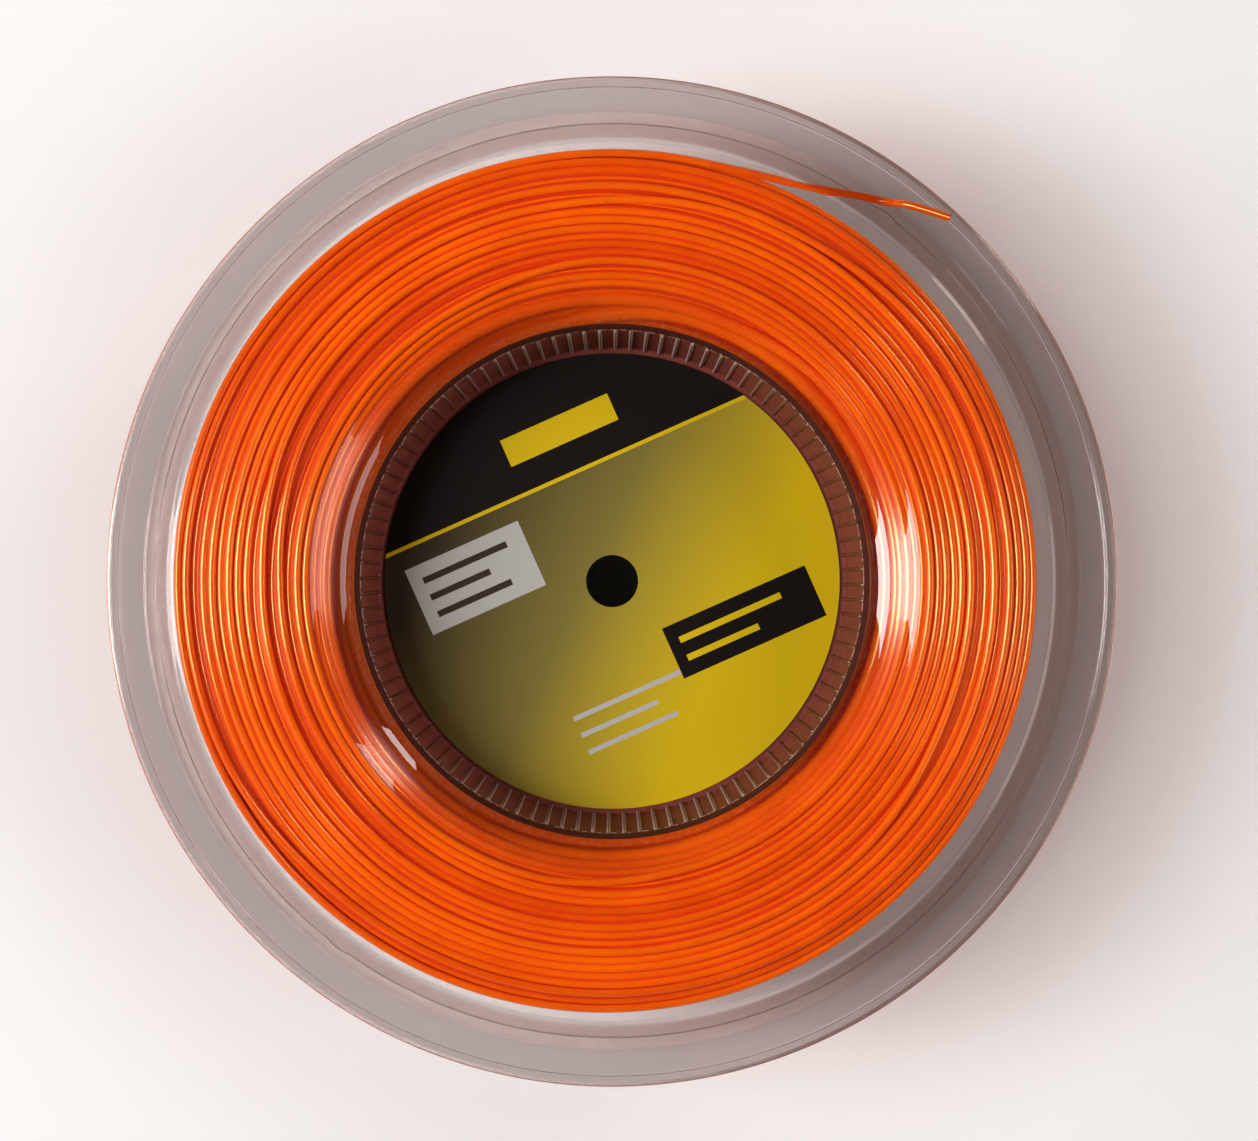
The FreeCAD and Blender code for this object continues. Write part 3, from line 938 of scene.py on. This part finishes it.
# %% A printed box
box_mask, given, result = new_group(
    "printed_box", {"Vector": (VECTOR, None), "Middle": (VECTOR, (0, 0, 0)),
                    "Half Size": (VECTOR, (5, 5, 0)), "Turn": (FLOAT, 0.0)}, {"Mask": FLOAT})
shifted = node(box_mask, "ShaderNodeVectorMath", operation="SUBTRACT")
turned_round = node(box_mask, "ShaderNodeVectorRotate", rotation_type="Z_AXIS")
sized = node(box_mask, "ShaderNodeVectorMath", operation="ABSOLUTE")
less = node(box_mask, "ShaderNodeVectorMath", operation="SUBTRACT")
parts = node(box_mask, "ShaderNodeSeparateXYZ")
box_mask.links.new(given.outputs["Vector"], shifted.inputs[0])
box_mask.links.new(given.outputs["Middle"], shifted.inputs[1])
box_mask.links.new(shifted.outputs[0], turned_round.inputs["Vector"])
box_mask.links.new(given.outputs["Turn"], turned_round.inputs["Angle"])
box_mask.links.new(turned_round.outputs[0], sized.inputs[0])
box_mask.links.new(sized.outputs[0], less.inputs[0])
box_mask.links.new(given.outputs["Half Size"], less.inputs[1])
box_mask.links.new(less.outputs[0], parts.inputs[0])
outside = calc(box_mask, "MAXIMUM", parts.outputs["X"], parts.outputs["Y"])
box_mask.links.new(calc(box_mask, "LESS_THAN", outside, 0.0), result.inputs["Mask"])

# %% Label material
BLACK, PALE, YELLOW = (0.006, 0.002, 0.001, 1), (0.55, 0.53, 0.50, 1), (0.80, 0.55, 0.003, 1)
OLIVE, DARK = (0.24, 0.19, 0.035, 1), (0.045, 0.03, 0.016, 1)


def label_material(name, turn):
    """The printed paper. The layout is drawn in the label's plane, turned by the given angle."""
    made, tree, shader = new_material(name)
    place = object_mm(tree)
    lay = node(tree, "ShaderNodeVectorRotate", rotation_type="Z_AXIS")
    lay.inputs["Angle"].default_value = turn
    tree.links.new(place, lay.inputs["Vector"])
    flat = lay.outputs[0]
    axes = node(tree, "ShaderNodeSeparateXYZ")
    tree.links.new(flat, axes.inputs[0])
    slant = calc(tree, "MULTIPLY_ADD", axes.outputs["Y"], -0.45, axes.outputs["X"])
    fade = node(tree, "ShaderNodeMapRange")
    fade.inputs["From Min"].default_value = -30.0
    fade.inputs["From Max"].default_value = 22.0
    tree.links.new(slant, fade.inputs["Value"])
    ramp = node(tree, "ShaderNodeValToRGB")
    stops = ramp.color_ramp
    stops.elements[0].color = DARK
    stops.elements[1].color = YELLOW
    stops.elements.new(0.5).color = OLIVE
    tree.links.new(fade.outputs[0], ramp.inputs[0])
    colour = ramp.outputs["Color"]
    tilt = math.radians(-24)
    across = np.array([math.cos(-tilt), math.sin(-tilt), 0])
    upward = np.array([-math.sin(-tilt), math.cos(-tilt), 0])
    prints = [(upward * 34, (45, 16.5, 0), tilt, BLACK),
              (upward * 17.6, (45, 0.3, 0), tilt, YELLOW),
              (upward * 24.5 + across * 2, (9, 2.2, 0), tilt, YELLOW),
              (across * -19 + upward * 9, (9.5, 5.4, 0), tilt, PALE),
              (across * 16 + upward * -14, (12, 4.2, 0), tilt, BLACK)]
    for row, width in enumerate((7.0, 5.0, 6.2)):
        prints.append((across * (width - 26.5) + upward * (11.8 - row * 2.8), (width, 0.5, 0), tilt,
                       DARK))
    for row, width in enumerate((8.5, 6.0)):
        prints.append((across * (5.8 + width) + upward * (-12.5 - row * 3.0), (width, 0.5, 0), tilt,
                       YELLOW))
    for row, width in enumerate((9.0, 6.5, 7.5)):
        prints.append((across * (width - 14) + upward * (-17 - row * 2.8), (width, 0.38, 0), tilt,
                       PALE))
    for middle, half_size, angle, ink in prints:
        mask = use_group(tree, box_mask, Vector=flat, Middle=tuple(middle), Half_Size=half_size,
                         Turn=angle)["Mask"]
        colour = mix_colour(tree, mask, colour, ink)
    grain = use_group(tree, mottle, Vector=place, Size=0.25)["Mask"]
    tree.links.new(colour, shader.inputs["Base Color"])
    tree.links.new(calc(tree, "MULTIPLY_ADD", grain, 0.2, 0.4), shader.inputs["Roughness"])
    shader.inputs["Specular IOR Level"].default_value = 0.2
    bump = node(tree, "ShaderNodeBump")
    bump.inputs["Strength"].default_value = 0.2
    bump.inputs["Distance"].default_value = 0.00002
    tree.links.new(grain, bump.inputs["Height"])
    tree.links.new(bump.outputs["Normal"], shader.inputs["Normal"])
    return made


for piece, name, turn in ((front_label, "front_print", 0.0), (back_label, "back_print", 2.4)):
    piece.data.materials.clear()
    piece.data.materials.append(label_material(name, turn))

# %% [markdown]
# The studio: a pale floor, a tall box at the left that draws the bright strokes in the rounded
# edges, and two weaker, warmer lamps at the right. The photograph's background is white, so away
# from the reel the floor glows a little for rays that look at it. It lights nothing with that.

# %% Floor
FLOOR_GLOW = 0.17
floor_mesh = bpy.data.meshes.new("floor")
side, floor_z = 3.0, -0.00005
floor_mesh.from_pydata([(-side, -side, floor_z), (side, -side, floor_z), (side, side, floor_z),
                        (-side, side, floor_z)], [], [(0, 1, 2, 3)])
floor = bpy.data.objects.new("floor", floor_mesh)
bpy.context.scene.collection.objects.link(floor)
floor_look, tree, shader = new_material("pale_floor")
shader.inputs["Base Color"].default_value = (0.93, 0.93, 0.93, 1)
shader.inputs["Roughness"].default_value = 0.9
shader.inputs["Specular IOR Level"].default_value = 0.1
shader.inputs["Emission Color"].default_value = (1, 1, 1, 1)
path = node(tree, "ShaderNodeLightPath")
looked_at = calc(tree, "MAXIMUM", path.outputs["Is Camera Ray"], path.outputs["Is Transmission Ray"])
looked_at = calc(tree, "MAXIMUM", looked_at, path.outputs["Is Glossy Ray"])
open_floor = use_group(tree, past_radius, Vector=object_mm(tree), Radius=68.0, Run=45.0)["Mask"]
lift = calc(tree, "MULTIPLY", looked_at, calc(tree, "MULTIPLY", open_floor, FLOOR_GLOW))
tree.links.new(lift, shader.inputs["Emission Strength"])
floor_mesh.materials.append(floor_look)

# %% Lamps and world
WHITE_LIGHT, WARM_LIGHT = (1, 1, 1), (1.0, 0.90, 0.85)


def area_lamp(name, azimuth, elevation, distance, width, height, power, colour):
    """A rectangular lamp that faces the reel from a direction given in degrees: azimuth from +X
    towards +Y, elevation above the floor."""
    data = bpy.data.lights.new(name, "AREA")
    data.shape = "RECTANGLE"
    data.size, data.size_y = width, height
    data.energy = power
    data.color = colour
    lamp = bpy.data.objects.new(name, data)
    a, e = math.radians(azimuth), math.radians(elevation)
    lamp.location = (distance * math.cos(e) * math.cos(a), distance * math.cos(e) * math.sin(a),
                     distance * math.sin(e) + 0.04)
    lamp.rotation_euler = (math.pi / 2 - e, 0, a + math.pi / 2)
    lamp.visible_camera = False
    bpy.context.scene.collection.objects.link(lamp)
    return lamp


area_lamp("left_box", 181, 42, 0.9, 0.26, 0.74, 7.8, WHITE_LIGHT)
area_lamp("upper_right_box", 38, 32, 0.9, 0.14, 0.36, 1.3, WARM_LIGHT)
area_lamp("right_window", -12, 30, 1.2, 0.7, 0.5, 4.0, WARM_LIGHT)
world = bpy.data.worlds.new("studio")
world.use_nodes = True
world.node_tree.nodes["Background"].inputs["Color"].default_value = (1, 1, 1, 1)
world.node_tree.nodes["Background"].inputs["Strength"].default_value = 0.015
bpy.context.scene.world = world
bpy.context.scene.view_settings.view_transform = "Standard"

# %% Finish
bpy.context.view_layer.update()
